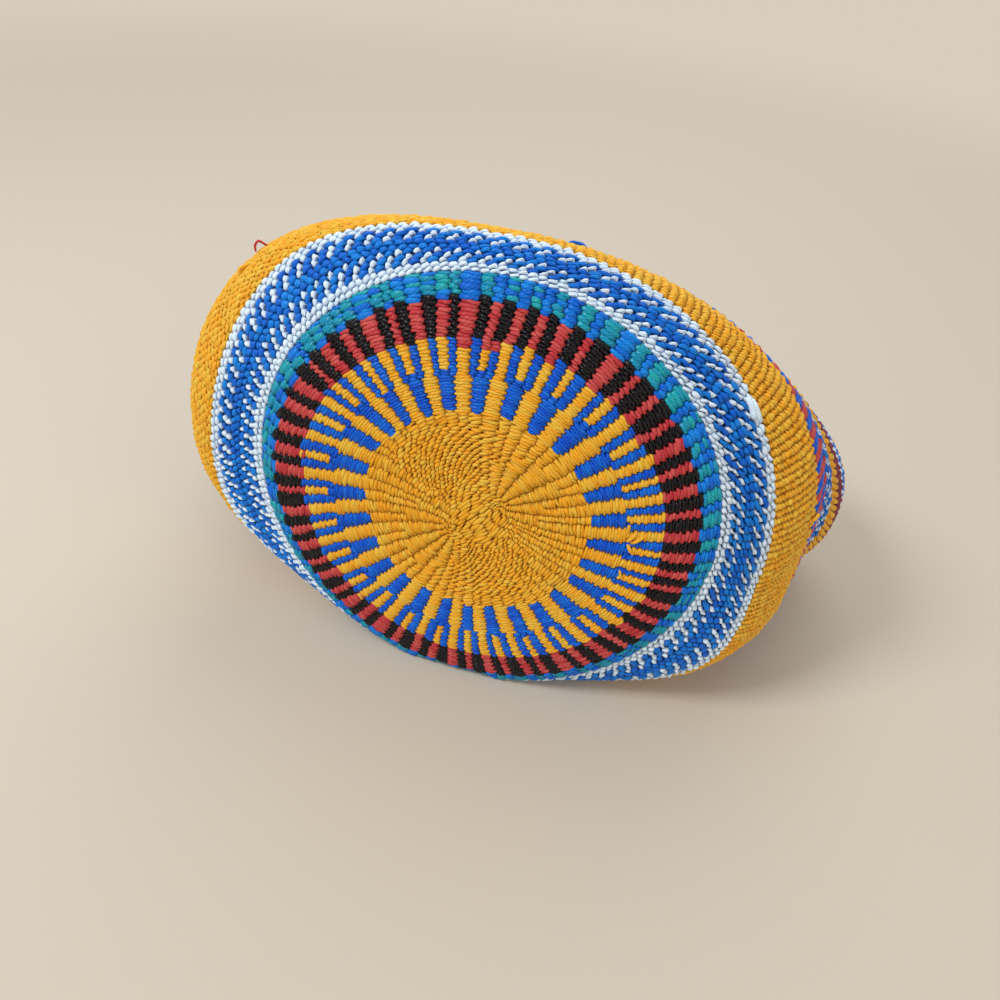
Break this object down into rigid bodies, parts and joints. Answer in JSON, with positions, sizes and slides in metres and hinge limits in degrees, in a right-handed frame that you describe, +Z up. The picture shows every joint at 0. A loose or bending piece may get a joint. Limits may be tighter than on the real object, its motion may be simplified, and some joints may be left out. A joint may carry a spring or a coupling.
{
  "type": "kiondo basket",
  "caption": "Limp round-bottomed basket twined from coloured string in ring patterns, lying on its side with its base facing forward and its mouth open at the back.",
  "frame": {"origin": "under the middle of the basket's bounding box, on the floor that it lies on", "axes": "+Z up as it lies, +X along its width, -Y the way its round base faces, +Y the way its mouth faces"},
  "size_m": [0.3598, 0.195, 0.2195],
  "materials": {
    "yellow_string": "satin",
    "blue_string": "satin",
    "white_string": "satin",
    "red_string": "satin",
    "dark_red_string": "satin",
    "teal_string": "satin"
  },
  "bodies": {
    "root": {"start_knot": "yellow_string", "yellow_base_centre": "yellow_string", "inner_spoke_ring": "blue_string", "outer_spoke_ring": "yellow_string", "red_black_ring": "red_string", "teal_blue_ring": "teal_string", "base_white_ring": "white_string", "lower_diagonal_ring": "blue_string", "blue_ring": "blue_string", "upper_diagonal_ring": "blue_string", "shoulder_white_ring": "white_string", "yellow_girth_band": "yellow_string", "red_blue_band": "red_string", "blue_white_band": "blue_string", "yellow_flank_band": "yellow_string", "dark_red_band": "dark_red_string", "white_flank_ring": "white_string", "blue_flank_band": "blue_string", "white_mouth_ring": "white_string", "yellow_mouth_band": "yellow_string", "red_mouth_band": "dark_red_string", "rim_plait": "yellow_string"}
  },
  "joints": []
}
